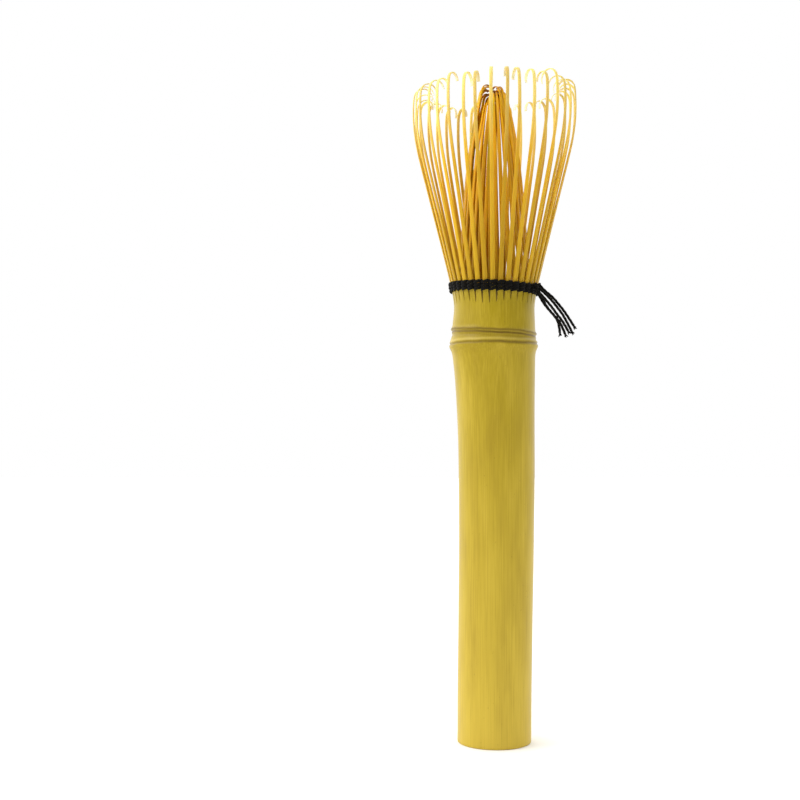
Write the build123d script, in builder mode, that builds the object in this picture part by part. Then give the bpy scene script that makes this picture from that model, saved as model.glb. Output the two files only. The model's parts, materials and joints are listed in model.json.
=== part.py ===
from build123d import *
import math
import os

# Bamboo tea whisk (chasen), standing on the cut end of its handle. Millimetres, +Z up.
# The origin is the centre of the handle's bottom end.

# --- Driving dimensions ---------------------------------------------------------------

# handle culm
base_radius = 10.8
base_round = 0.9
bore_radius = 6.6
diaphragm_bottom = 116.0
diaphragm_top = 119.5
bore_round = 0.6
collar_bore_radius = 9.6
collar_radius = 12.57
collar_top = 132.8

# the culm's outline as (radius, height): the grip, the node between its two ridges, the waist and collar
lower_ridge = (13.0, 116.8)
upper_ridge = (12.6, 120.9)
grip_outline = [
    (base_radius, base_round),
    (10.88, 45.0),
    (11.15, 78.0),
    (11.7, 106.0),
    (12.15, 113.0),
    lower_ridge,
]
node_outline = [lower_ridge, (12.6, 118.2), (12.2, 119.6), upper_ridge]
collar_outline = [upper_ridge, (12.1, 123.4), (11.87, 127.6), (collar_radius, collar_top)]
collar_flare = 0.22

# slots that split the collar into teeth
tine_count = 36
tine_pitch = 360 / tine_count
first_bearing = 4.0
slot_bottom = 128.2
slot_width = 0.62
slot_inner_radius = 11.35
slot_depth = 3.0
slot_middle_radius = slot_inner_radius + slot_depth / 2
first_slot_bearing = first_bearing + tine_pitch / 2

# outer tines: they lean out, bend slowly to upright and hook inward
outer_hinge_radius = 12.3
outer_knuckle_radius = 0.37
outer_lean = 14.4
outer_stem_length = 41.1
outer_bend_radius = 51.0
outer_bend_angle = 5
outer_hook_radius = 2.45
outer_hook_angle = 188
outer_thickness = 0.42
outer_widths = (1.5, 1.0, 0.8)
outer_lean_spread = 0.5
outer_stem_spread = 0.5
outer_hook_radius_spread = 0.3
outer_hook_angle_spread = 20

# the ring of outer tips isn't level: the tines are longest at one side
skew = 1.1
skew_bearing = -25.0

# inner tines: they lean in on each other, and every second one hooks further in
inner_hinge_radius = 10.7
inner_knuckle_radius = 0.26
inner_lean = 4.5
inner_stem_length = 27.5
inner_bend_radius = 200.0
inner_bend_angle = 12.9
inner_hook_radii = (1.3, 0.75)
inner_hook_angle = 150
inner_thickness = 0.3
inner_widths = (0.95, 0.8, 0.38)
inner_stem_spread = 1.4
inner_hook_angle_spread = 15
tines_per_group = 3

# running gap between a tine's rounded root and the collar below it, and how far the outline that
# trims a tine's width reaches below that root
root_gap = 0.08
root_reach = 1.0

# thread
row_count = 3
row_pitch = 1.0
row_half_height = 0.47
row_half_depth = 0.31
row_clearance = 0.16
knot_bearing = -34.0
knot_depth = 1.6
knot_height = 3.0
knot_width = 2.6
knot_round = 0.6
knot_gap = 0.05
tail_diameter = 0.7
tail_corner_share = 0.45

# steps of the fixed, uneven numbers that each tine gets
golden_share = 0.6180339887
salt_step = 0.2718

outer_hinge_height = collar_top + root_gap + outer_knuckle_radius
inner_hinge_height = collar_top + root_gap + inner_knuckle_radius


# --- Helpers --------------------------------------------------------------------------


def spread(index, salt):
    """A fixed, uneven number from -1 to 1 for each tine, so that no two tines are quite alike."""
    return 2 * ((golden_share * (index + 1) * (salt + 1) + salt_step * salt) % 1) - 1


def radial_plane(bearing):
    """The upright plane through the whisk's axis: local x runs outward, local y runs up."""
    angle = math.radians(bearing)
    outward = (math.cos(angle), math.sin(angle), 0)
    across = (math.sin(angle), -math.cos(angle), 0)
    return Plane(origin=(0, 0, 0), x_dir=outward, z_dir=across)


def facing_plane(bearing):
    """The upright plane through the whisk's axis that faces outward at a bearing."""
    angle = math.radians(bearing)
    outward = (math.cos(angle), math.sin(angle), 0)
    across = (-math.sin(angle), math.cos(angle), 0)
    return Plane(origin=(0, 0, 0), x_dir=across, z_dir=outward)


def polar(centre, radius, degrees):
    """The point at a radius and an angle from a centre, in a sketch."""
    angle = math.radians(degrees)
    return (centre[0] + radius * math.cos(angle), centre[1] + radius * math.sin(angle))


def keep(part, name):
    """Labels a finished piece and writes it to its own file."""
    part.label = name
    export_step(part, f"parts/{name}.step")


def tine(bearing, hinge, knuckle, stem, bend, hook, thickness, widths):
    """One tine: a rounded root, a straight tapering stem, a slow bend and a hooked tip.

    All angles are of the outer face, from level: a stem that leans outward has a face below 0,
    an upright one is at 0, and a tip that points straight down has turned to 180.
    hinge is the (radius, height) of the rounded root, whose radius is knuckle. stem is
    (angle, length), bend and hook are (radius, angle at the end), and widths are those across
    the tine at the root, the middle and the top.
    """
    stem_angle, stem_length = stem
    bend_radius, bend_angle = bend
    hook_radius, hook_angle = hook
    shoulder = polar(hinge, stem_length, 90 + stem_angle)
    bend_centre = polar(shoulder, bend_radius, 180 + stem_angle)
    hook_centre = polar(bend_centre, bend_radius - hook_radius, bend_angle)
    top = hook_centre[1] + hook_radius + thickness
    middle = (hinge[1] + top) / 2
    root_half, middle_half, top_half = (width / 2 for width in widths)
    half_outline = [
        (root_half, hinge[1] - root_reach),
        (root_half, hinge[1]),
        (middle_half, middle),
        (top_half, top - 2 * hook_radius),
        (top_half, top),
    ]
    with BuildPart() as piece:
        with BuildSketch(radial_plane(bearing)):
            with BuildLine():
                ends = []
                for half in (thickness / 2, -thickness / 2):
                    root = polar(hinge, math.copysign(knuckle, half), stem_angle)
                    bend_face = bend_radius + half
                    hook_face = hook_radius + half
                    bend_start = polar(bend_centre, bend_face, stem_angle)
                    bend_end = polar(bend_centre, bend_face, bend_angle)
                    tip = polar(hook_centre, hook_face, hook_angle)
                    Line(root, bend_start)
                    ThreePointArc(
                        bend_start,
                        polar(bend_centre, bend_face, (stem_angle + bend_angle) / 2),
                        bend_end,
                    )
                    ThreePointArc(
                        bend_end,
                        polar(hook_centre, hook_face, (bend_angle + hook_angle) / 2),
                        tip,
                    )
                    ends.append((root, tip))
                Line(ends[0][0], ends[1][0])
                Line(ends[0][1], ends[1][1])
            make_face()
            with Locations(hinge):
                Circle(knuckle)
        extrude(amount=root_half, both=True)
        with BuildSketch(facing_plane(bearing)):
            with BuildLine():
                Polyline(half_outline, [(-across, up) for across, up in reversed(half_outline)], close=True)
            make_face()
        extrude(amount=3 * base_radius, mode=Mode.INTERSECT)
    return piece


os.makedirs("parts", exist_ok=True)

# --- Handle culm: grip, node, diaphragm and toothed collar -----------------------------

with BuildPart() as handle_culm:
    with BuildSketch(Plane.XZ):
        with BuildLine():
            Line((0, 0), (base_radius - base_round, 0))
            RadiusArc((base_radius - base_round, 0), (base_radius, base_round), -base_round)
            Spline(*grip_outline, tangents=((0, 1), (0, 1)))
            Spline(*node_outline, tangents=((0, 1), (0, 1)))
            Spline(*collar_outline, tangents=((0, 1), (collar_flare, 1)))
            Line((collar_radius, collar_top), (0, collar_top))
            Line((0, collar_top), (0, 0))
        make_face()
    revolve(axis=Axis.Z)
    # hollow of the internode, open at the cut end and closed by the diaphragm
    with BuildSketch(Plane.XY):
        Circle(bore_radius)
    extrude(amount=diaphragm_bottom, mode=Mode.SUBTRACT)
    # cup above the diaphragm
    with BuildSketch(Plane.XY.offset(diaphragm_top)):
        Circle(collar_bore_radius)
    extrude(amount=collar_top - diaphragm_top, mode=Mode.SUBTRACT)
    # slots that divide the collar's skin side into one tooth for each outer tine
    with BuildSketch(Plane.XY.offset(slot_bottom)):
        with PolarLocations(slot_middle_radius, tine_count, start_angle=first_slot_bearing):
            Rectangle(slot_depth, slot_width)
    extrude(amount=collar_top - slot_bottom, mode=Mode.SUBTRACT)
    fillet(
        handle_culm.edges().filter_by(GeomType.CIRCLE).group_by(Axis.Z)[0].sort_by(SortBy.RADIUS)[0],
        radius=bore_round,
    )
keep(handle_culm.part, "handle_culm")

# --- Outer tines: one node each, because each flexes by itself -------------------------

for number in range(tine_count):
    bearing = first_bearing + number * tine_pitch
    longer = skew * math.cos(math.radians(bearing - skew_bearing)) + outer_stem_spread * spread(number, 1)
    uneven_radius = outer_hook_radius_spread * spread(number, 2)
    uneven_angle = outer_hook_angle_spread * spread(number, 3)
    outer_tine = tine(
        bearing=bearing,
        hinge=(outer_hinge_radius, outer_hinge_height),
        knuckle=outer_knuckle_radius,
        stem=(-outer_lean - outer_lean_spread * spread(number, 0), outer_stem_length + longer),
        bend=(outer_bend_radius, outer_bend_angle),
        hook=(outer_hook_radius + uneven_radius, outer_hook_angle + uneven_angle),
        thickness=outer_thickness,
        widths=outer_widths,
    )
    keep(outer_tine.part, f"outer_tine_{number + 1:02d}")

# --- Inner tines: groups of neighbours that lean on each other and move as one ---------

for group in range(tine_count // tines_per_group):
    neighbours = []
    for number in range(group * tines_per_group, (group + 1) * tines_per_group):
        uneven_stem = inner_stem_spread * spread(number, 4)
        uneven_angle = inner_hook_angle_spread * spread(number, 5)
        neighbours.append(
            tine(
                bearing=first_bearing + (number + 0.5) * tine_pitch,
                hinge=(inner_hinge_radius, inner_hinge_height),
                knuckle=inner_knuckle_radius,
                stem=(inner_lean, inner_stem_length + uneven_stem),
                bend=(inner_bend_radius, inner_bend_angle),
                hook=(inner_hook_radii[number % 2], inner_hook_angle + uneven_angle),
                thickness=inner_thickness,
                widths=inner_widths,
            )
        )
    with BuildPart() as inner_tines:
        for neighbour in neighbours:
            add(neighbour.part)
    keep(inner_tines.part, f"inner_tines_{group + 1:02d}")

# --- Thread band: rows that hold the outer tines in ------------------------------------

for row in range(row_count):
    height = outer_hinge_height + row_pitch * (row - (row_count - 1) / 2)
    rise = max(0.0, height - outer_hinge_height)
    tine_face = (
        outer_hinge_radius
        + outer_knuckle_radius / math.cos(math.radians(outer_lean))
        + rise * math.tan(math.radians(outer_lean))
    )
    with BuildPart() as thread_row:
        with BuildSketch(Plane.XZ):
            with Locations((tine_face + row_clearance + row_half_depth, height)):
                Ellipse(row_half_depth, row_half_height)
        revolve(axis=Axis.Z)
    keep(thread_row.part, f"thread_row_{row + 1}")

# --- Knot: a small rounded lump against the band ----------------------------------------

band_face = tine_face + row_clearance + 2 * row_half_depth
knot_plane = radial_plane(knot_bearing)
knot_radius = band_face + knot_depth / 2 + knot_gap
with BuildPart() as thread_knot:
    with BuildSketch(knot_plane):
        with Locations((knot_radius, outer_hinge_height)):
            RectangleRounded(knot_depth, knot_height, knot_round)
    extrude(amount=knot_width / 2, both=True)
    fillet(thread_knot.faces().filter_by(knot_plane).edges(), radius=knot_round)
keep(thread_knot.part, "thread_knot")

# --- Tails: the thread's loose ends, hanging out from the knot --------------------------

# Each route is chosen by hand: (distance out from the axis along the knot's bearing, distance
# across that bearing, height). Each begins inside the knot.
tail_routes = [
    [(14.3, 0.8, 133.8), (16.1, 1.0, 131.7), (18.5, 1.2, 129.9), (20.7, 1.4, 127.3), (22.5, 1.6, 125.1),
     (25.0, 1.8, 121.2)],
    [(14.3, 0.0, 132.9), (17.0, -0.1, 130.7), (19.3, -0.2, 128.4), (21.1, -0.2, 126.2), (23.0, -0.1, 123.8),
     (25.2, 0.0, 119.6)],
    [(14.4, -0.9, 132.2), (17.3, -1.1, 129.2), (19.8, -1.2, 126.4), (21.4, -1.3, 124.3), (23.1, -1.3, 122.4),
     (24.7, -1.2, 119.6)],
    [(14.2, 0.6, 131.9), (15.7, 0.8, 128.9), (17.5, 0.9, 126.2), (19.6, 0.9, 124.0), (20.8, 0.9, 122.1),
     (21.1, 0.9, 119.3)],
    [(14.3, -0.4, 131.8), (15.9, -0.3, 128.7), (18.1, -0.2, 126.0), (20.3, -0.2, 123.8), (22.0, -0.2, 121.8),
     (23.3, -0.2, 118.8)],
]

for count, route in enumerate(tail_routes, start=1):
    points = [
        knot_plane.from_local_coords((out, up)) + knot_plane.z_dir * -across for out, across, up in route
    ]
    radii = []
    for before, corner, after in zip(points, points[1:], points[2:]):
        turn = (corner - before).get_angle(after - corner)
        shorter = min((corner - before).length, (after - corner).length)
        radii.append(tail_corner_share * shorter / math.tan(math.radians(turn / 2)))
    with BuildPart() as thread_tail:
        with BuildLine() as path:
            FilletPolyline(*points, radius=radii)
        with BuildSketch(Plane(origin=path.wire() @ 0, z_dir=path.wire() % 0)):
            Circle(tail_diameter / 2)
        sweep()
    keep(thread_tail.part, f"thread_tail_{count}")
    length = path.wire().length
    expected = length * math.pi * (tail_diameter / 2) ** 2
    print(f"tail {count}: length {length:.1f}, radii {[round(radius, 1) for radius in radii]},",
          f"volume {thread_tail.part.volume:.2f} of {expected:.2f}")
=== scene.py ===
"""A bamboo tea whisk standing on a pale floor: a culm handle, two rings of tines and a thread band."""

import json
import logging
import math
from dataclasses import dataclass, field
from enum import Enum

import bpy
import numpy as np
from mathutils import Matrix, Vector

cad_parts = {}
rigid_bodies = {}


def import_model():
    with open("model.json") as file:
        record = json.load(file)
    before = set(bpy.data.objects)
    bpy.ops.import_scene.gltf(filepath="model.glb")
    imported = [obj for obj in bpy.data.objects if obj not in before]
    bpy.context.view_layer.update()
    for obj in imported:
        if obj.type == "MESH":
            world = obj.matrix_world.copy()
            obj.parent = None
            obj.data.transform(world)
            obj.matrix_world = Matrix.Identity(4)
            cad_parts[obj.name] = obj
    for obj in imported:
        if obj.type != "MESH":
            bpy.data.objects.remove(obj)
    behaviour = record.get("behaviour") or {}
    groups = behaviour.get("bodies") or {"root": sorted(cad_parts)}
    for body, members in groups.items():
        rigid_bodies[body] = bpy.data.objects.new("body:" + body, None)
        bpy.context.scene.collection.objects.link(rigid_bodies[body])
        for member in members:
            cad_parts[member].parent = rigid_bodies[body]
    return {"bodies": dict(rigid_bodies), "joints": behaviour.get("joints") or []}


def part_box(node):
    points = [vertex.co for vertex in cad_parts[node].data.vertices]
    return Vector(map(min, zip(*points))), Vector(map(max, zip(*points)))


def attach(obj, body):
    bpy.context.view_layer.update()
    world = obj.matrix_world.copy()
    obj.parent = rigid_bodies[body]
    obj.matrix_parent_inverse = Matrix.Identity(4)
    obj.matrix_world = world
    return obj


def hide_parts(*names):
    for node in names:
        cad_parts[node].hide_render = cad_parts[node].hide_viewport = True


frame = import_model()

log = logging.getLogger("whisk")

MM = 0.001

# short names for the types that functions take and return
Array = np.ndarray
Surface = tuple[Array, Array, Array]
Span = tuple[float, float]
Knots = tuple[tuple[float, float], ...]
Tree = bpy.types.NodeTree
Socket = bpy.types.NodeSocket


# --- Numbers that every class shares, in millimetres and degrees, read from the solid model ---


def hinge_place(body: str) -> tuple[float, float, float]:
    """Where the solid model hinges a body, to a hundredth, as it was drawn.

    Args:
        body: the body's name.

    Returns:
        The hinge's distance from the whisk's axis, its bearing and its height.
    """
    x, y, z = next(joint["pos_m"] for joint in frame["joints"] if joint["child"] == body)
    return round(math.hypot(x, y) / MM, 2), round(math.degrees(math.atan2(y, x)), 2), round(z / MM, 2)


TINE_COUNT = sum(body.startswith("outer_tine") for body in frame["bodies"])
INNER_GROUPS = sum(body.startswith("inner_tines") for body in frame["bodies"])
TINE_PITCH = 360 / TINE_COUNT
OUTER_HINGE_RADIUS, FIRST_BEARING, BAND_HEIGHT = hinge_place("outer_tine_01")
INNER_HINGE_RADIUS, _, INNER_HINGE_HEIGHT = hinge_place("inner_tines_01")
COLLAR_TOP = round(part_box("handle_culm")[1][2] / MM, 2)

# what the culm's mesh tells its finish at each point: the painted highlight on the ridge above the lower
# line, the browning of its lines with the painted shade below the upper line, and where it is cut
CULM_TAGS = ("worn", "line", "cut")


# --- Small maths --------------------------------------------------------------------------


def spread(index: int, salt: int) -> float:
    """A fixed, uneven number from -1 to 1, as in the solid model: the fractional part of golden multiples.

    Args:
        index: the tine's number, from 0.
        salt: which property it is for.

    Returns:
        The number.
    """
    return 2 * ((0.6180339887 * (index + 1) * (salt + 1) + 0.2718 * salt) % 1) - 1


def hermite(knots: Knots, at: Array) -> Array:
    """A smooth curve through knots: a cubic between each pair, with slopes from the knots beside them.

    Args:
        knots: (place, value) pairs, in order.
        at: the places to read.

    Returns:
        The value at each place.
    """
    place, value = np.array(knots, float).T
    slope = np.gradient(value, place)
    span = np.clip(np.searchsorted(place, at, side="right") - 1, 0, len(place) - 2)
    width = place[span + 1] - place[span]
    t = np.clip((at - place[span]) / width, 0, 1)
    start = (1 + 2 * t) * (1 - t) ** 2 * value[span] + t * (1 - t) ** 2 * width * slope[span]
    end = t**2 * (3 - 2 * t) * value[span + 1] + t**2 * (t - 1) * width * slope[span + 1]
    return start + end


def ramp(distance: Array, softness: float) -> Array:
    """A ramp that starts softly at 0: softness times log(1 + e^(distance / softness))."""
    return softness * np.logaddexp(0, distance / softness)


def bell(distance: Array, width: float) -> Array:
    """A bell curve, 1 at no distance: e to the minus square of (distance / width)."""
    return np.exp(-((distance / width) ** 2))


def linear(code: str) -> tuple[float, float, float, float]:
    """An sRGB hex colour as linear red, green, blue and alpha.

    Args:
        code: the colour, such as "#C8AA50".

    Returns:
        The four numbers that a colour socket holds.
    """
    channels = [int(code[i : i + 2], 16) / 255 for i in (1, 3, 5)]
    red, green, blue = (c / 12.92 if c <= 0.04045 else ((c + 0.055) / 1.055) ** 2.4 for c in channels)
    return red, green, blue, 1.0


# --- Meshes from arrays -------------------------------------------------------------------


def put_mesh(name: str, points: Array, quads: Array, uv: Array, tags: dict[str, Array]) -> bpy.types.Object:
    """Puts arrays into a mesh object at the origin, smooth shaded.

    Args:
        name: the object's name.
        points: (n, 3) places in millimetres.
        quads: (m, 4) corner numbers, in order round each face, outwards.
        uv: (n, 2) surface coordinates of each point.
        tags: named numbers for each point, which the materials read as attributes.

    Returns:
        The object, linked to the scene.
    """
    mesh = bpy.data.meshes.new(name)
    mesh.vertices.add(len(points))
    mesh.vertices.foreach_set("co", (points * MM).astype(np.float32).ravel())
    mesh.loops.add(quads.size)
    mesh.loops.foreach_set("vertex_index", quads.astype(np.int32).ravel())
    mesh.polygons.add(len(quads))
    mesh.polygons.foreach_set("loop_start", np.arange(0, quads.size, 4, dtype=np.int32))
    mesh.polygons.foreach_set("use_smooth", np.ones(len(quads), bool))
    layer = mesh.uv_layers.new(name="surface")
    layer.data.foreach_set("uv", uv[quads.ravel()].astype(np.float32).ravel())
    for tag, values in tags.items():
        mesh.attributes.new(tag, "FLOAT", "POINT").data.foreach_set("value", values.astype(np.float32))
    mesh.update(calc_edges=True)
    mesh.validate()
    piece = bpy.data.objects.new(name, mesh)
    bpy.context.scene.collection.objects.link(piece)
    return piece


def grid_quads(rows: int, columns: int, wrap_rows: bool = False) -> Array:
    """The faces of a grid whose columns close into a ring.

    Args:
        rows: how many rings of points there are.
        columns: how many points are in each ring.
        wrap_rows: whether the last ring joins the first.

    Returns:
        (m, 4) corner numbers.
    """
    last = rows if wrap_rows else rows - 1
    row, column = np.meshgrid(np.arange(last), np.arange(columns), indexing="ij")
    next_row, next_column = (row + 1) % rows, (column + 1) % columns
    corners = (row * columns + column, row * columns + next_column)
    above = (next_row * columns + next_column, next_row * columns + column)
    return np.stack([*corners, *above], axis=-1).reshape(-1, 4)


@dataclass
class Bundle:
    """Points, faces and tags that gather into one mesh."""

    points: list[Array] = field(default_factory=list)
    quads: list[Array] = field(default_factory=list)
    uv: list[Array] = field(default_factory=list)
    tags: dict[str, list[Array]] = field(default_factory=dict)

    def take(self, points: Array, quads: Array, uv: Array, tags: dict[str, Array]) -> None:
        """Adds one closed surface to those already gathered.

        Args:
            points: (n, 3) places in millimetres.
            quads: (m, 4) corner numbers within those points.
            uv: (n, 2) surface coordinates.
            tags: named numbers for each point.
        """
        before = sum(len(p) for p in self.points)
        self.points.append(points)
        self.quads.append(quads + before)
        self.uv.append(uv)
        for tag, values in tags.items():
            self.tags.setdefault(tag, []).append(values)

    def finish(self, name: str) -> bpy.types.Object:
        """Makes one mesh object of everything gathered.

        Args:
            name: the object's name.

        Returns:
            The object.
        """
        tags = {tag: np.concatenate(values) for tag, values in self.tags.items()}
        uv = np.concatenate(self.uv)
        return put_mesh(name, np.concatenate(self.points), np.concatenate(self.quads), uv, tags)


def unit(vectors: Array) -> Array:
    """Directions made one long: each is divided by its length."""
    return vectors / np.linalg.norm(vectors, axis=-1, keepdims=True)


def tangents(line: Array, closed: bool = False) -> Array:
    """The way that a line runs at each point: from the point before it to the point after it.

    Args:
        line: (n, 3) points, without a repeat of the first if closed.
        closed: whether the line is a loop.

    Returns:
        (n, 3) directions, each of length 1.
    """
    if closed:
        return unit(np.roll(line, -1, axis=0) - np.roll(line, 1, axis=0))
    return unit(np.gradient(line, axis=0))


def upright_plane(bearing: float) -> Array:
    """The axes of an upright plane through the whisk's own axis.

    Args:
        bearing: the plane's bearing, in degrees.

    Returns:
        Rows for outward, across and up. Places (outward, across, up) times this are x, y and z.
    """
    cosine, sine = math.cos(math.radians(bearing)), math.sin(math.radians(bearing))
    return np.array([[cosine, sine, 0], [-sine, cosine, 0], [0, 0, 1]])


def skin_over(rings: Array, closed: bool) -> tuple[Array, Array]:
    """Faces over rings of points, with a point at the middle of each end ring unless the rings form a loop.

    Args:
        rings: (rows, columns, 3) points. Each ring runs anticlockwise as seen from ahead of it.
        closed: whether the last ring joins the first.

    Returns:
        (n, 3) points and (m, 4) corner numbers. An end's faces fold to its middle point.
    """
    rows, columns, _ = rings.shape
    points = rings.reshape(-1, 3)
    quads = grid_quads(rows, columns, closed)
    if closed:
        return points, quads
    middles = np.stack([rings[0].mean(0), rings[-1].mean(0)])
    # an end quad joins three points in a row to the middle, so that an end is closed by quads alone
    ring = np.arange(0, columns, 2)
    after, beyond = (ring + 1) % columns, (ring + 2) % columns
    first_middle = np.full_like(ring, rows * columns)
    start = np.stack([first_middle, beyond, after, ring], axis=-1)
    last = (rows - 1) * columns
    end = np.stack([first_middle + 1, last + ring, last + after, last + beyond], axis=-1)
    return np.concatenate([points, middles]), np.concatenate([quads, start, end])


# --- Finishes -----------------------------------------------------------------------------


def add_node(tree: Tree, kind: str, feeds: dict, **settings: object) -> bpy.types.Node:
    """Adds a node with its settings, fixed numbers and links.

    Args:
        tree: the material's or the world's node tree.
        kind: the node's type, such as "ShaderNodeMath".
        feeds: what goes into each input, by name or number: a value, or another node's output.
        settings: properties to set on the node.

    Returns:
        The node.
    """
    node = tree.nodes.new(kind)
    for name, value in settings.items():
        setattr(node, name, value)
    for name, value in feeds.items():
        if isinstance(value, Socket):
            tree.links.new(value, node.inputs[name])
        else:
            node.inputs[name].default_value = value
    return node


def tint(tree: Tree, colour: object, other: object, value: Socket, span: Span, most: float) -> Socket:
    """A colour that goes towards another one where a value is high, or low if the span runs downwards.

    Args:
        tree: the node tree.
        colour: the colour or output to start from.
        other: the colour or output to go towards.
        value: the output that says where.
        span: the values at which the second colour starts and is fullest.
        most: its share where it is fullest, from 0 to 1.

    Returns:
        The tinted colour's output.
    """
    rise = {0: value, 1: span[0], 2: span[1], 3: 0, 4: most}
    share = add_node(tree, "ShaderNodeMapRange", rise, clamp=True).outputs[0]
    feeds = {0: share, 6: colour, 7: other}
    return add_node(tree, "ShaderNodeMix", feeds, data_type="RGBA", clamp_factor=True).outputs[2]


def streaks(tree: Tree, place: object, across: float, along: float, **feeds: float) -> Socket:
    """Noise drawn out along the third axis of its coordinates.

    Args:
        tree: the node tree.
        place: the coordinates to read.
        across: the streaks' width, in the coordinates' own unit.
        along: the streaks' length.
        feeds: the noise's other inputs, such as Detail.

    Returns:
        The noise's output, about 0.5 on average.
    """
    scale = (1 / across, 1 / across, 1 / along)
    stretched = add_node(tree, "ShaderNodeMapping", {"Vector": place, "Scale": scale}).outputs[0]
    settings = {"Vector": stretched, "Scale": 1.0, "Detail": 3.0, **feeds}
    return add_node(tree, "ShaderNodeTexNoise", settings).outputs[0]


def new_material(name: str) -> tuple[bpy.types.Material, Tree]:
    """A material with an empty node tree."""
    material = bpy.data.materials.new(name)
    material.use_nodes = True
    material.node_tree.nodes.clear()
    return material, material.node_tree


def close_material(tree: Tree, feeds: dict) -> None:
    """Ends a material's tree with its shader and output.

    Args:
        tree: the node tree.
        feeds: what goes into the shader, by input name.
    """
    shader = add_node(tree, "ShaderNodeBsdfPrincipled", feeds)
    add_node(tree, "ShaderNodeOutputMaterial", {"Surface": shader.outputs[0]})


@dataclass(frozen=True)
class CulmSkin:
    """Madake bamboo skin, boiled, sun bleached and polished by rubbing.

    It gives a satin, waxy yellow face, greener towards the node, with fine lengthwise fibres, slow clouding,
    a few dark specks and browned node lines. Some of it is painted light: it is lighter towards the foot
    partly as painted light from the floor, the ridge above the lower line has a painted highlight, and
    painted shade lies below the upper line. Where it was cut, the flesh is pale.
    """

    # the colours at the foot and at the node: partly the culm's own, and partly painted light, lighter at
    # the foot where the floor lights it more
    foot: str = "#C8AC3C"
    neck: str = "#9A8408"
    pale: str = "#D4B844"
    dark: str = "#7A5E10"
    # the browned lines' colour, which also paints the shade below the upper line
    line: str = "#5C460E"
    # the painted highlight on the ridge above the lower line
    ridge_highlight: str = "#ECD47C"
    flesh: str = "#D2B468"
    speck: str = "#5E4416"
    fibre_width: float = 0.3
    fibre_length: float = 24.0
    fibre_share: float = 0.3
    mottle_width: float = 4.5
    mottle_length: float = 22.0
    dark_mottle_share: float = 0.22
    pale_mottle_share: float = 0.2
    speck_size: float = 0.42
    speck_share: float = 0.4
    # how strong the ridge's painted highlight is
    ridge_highlight_share: float = 0.22
    neck_height: float = 128.0

    def make(self) -> bpy.types.Material:
        """Builds the material. It reads Object coordinates, and the culm's "line", "worn" and "cut" tags:
        its browned lines with painted shade, the painted highlight on its ridge, and its cut faces.
        """
        material, tree = new_material("bamboo_culm_skin_rubbed")
        place = add_node(tree, "ShaderNodeTexCoord", {}).outputs["Object"]
        height = add_node(tree, "ShaderNodeSeparateXYZ", {0: place}).outputs[2]
        fibre = streaks(tree, place, self.fibre_width * MM, self.fibre_length * MM, Roughness=0.6)
        mottle = streaks(tree, place, self.mottle_width * MM, self.mottle_length * MM)
        speck = streaks(tree, place, self.speck_size * MM, 2.5 * self.speck_size * MM, Detail=1.0)
        worn, line, cut = (
            add_node(tree, "ShaderNodeAttribute", {}, attribute_name=tag).outputs["Fac"] for tag in CULM_TAGS
        )
        pale, dark = linear(self.pale), linear(self.dark)
        # the culm is greener and darker towards the node and lighter towards the foot: partly its own
        # colour, and partly painted light, as the floor lights the foot more
        risen = (0.0, self.neck_height * MM)
        colour = tint(tree, linear(self.foot), linear(self.neck), height, risen, 1)
        # lighter and darker fibres, slow clouding, then the few specks that bleaching leaves
        colour = tint(tree, colour, pale, fibre, (0.5, 0.8), self.fibre_share)
        colour = tint(tree, colour, dark, fibre, (0.5, 0.2), self.fibre_share)
        colour = tint(tree, colour, dark, mottle, (0.5, 0.75), self.dark_mottle_share)
        colour = tint(tree, colour, pale, mottle, (0.48, 0.3), self.pale_mottle_share)
        colour = tint(tree, colour, linear(self.speck), speck, (0.755, 0.8), self.speck_share)
        # painted highlight: the ridge above the lower line is painted pale, where light catches it
        colour = tint(tree, colour, linear(self.ridge_highlight), worn, (0.1, 1.0), self.ridge_highlight_share)
        # the node's lines are browned, and painted shade lies below the upper line, with less of both where
        # the clouding is dark
        clouded = {0: mottle, 1: 0.35, 2: 0.65, 3: 1.0, 4: 0.72}
        kept = add_node(tree, "ShaderNodeMapRange", clouded).outputs[0]
        deepened = {0: line, 1: 0.06, 2: 0.95, 3: 0.0, 4: 0.95}
        deep = add_node(tree, "ShaderNodeMapRange", deepened).outputs[0]
        lines_and_painted_shade = add_node(tree, "ShaderNodeMath", {0: deep, 1: kept}, operation="MULTIPLY").outputs[0]
        colour = tint(tree, colour, linear(self.line), lines_and_painted_shade, (0, 1), 1)
        # the pale flesh of the cut end, the bore and the slots, with its dark fibre ends
        grain = streaks(tree, place, 0.5 * self.fibre_width * MM, 8 * self.fibre_width * MM, Detail=2.0)
        flesh = tint(tree, linear(self.flesh), dark, grain, (0.5, 0.7), 0.5)
        colour = tint(tree, colour, flesh, cut, (0, 1), 1)
        gloss = {0: fibre, 1: 0.2, 2: 0.8, 3: 0.4, 4: 0.52}
        relief = {"Height": fibre, "Distance": 0.03 * MM, "Strength": 0.3}
        feeds = {
            "Base Color": colour,
            "Roughness": add_node(tree, "ShaderNodeMapRange", gloss).outputs[0],
            "Normal": add_node(tree, "ShaderNodeBump", relief).outputs[0],
            "IOR": 1.5,
            "Specular IOR Level": 0.06,
            "Coat Weight": 0.6,
            "Coat IOR": 1.3,
            "Coat Roughness": 0.4,
        }
        close_material(tree, feeds)
        return material


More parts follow.
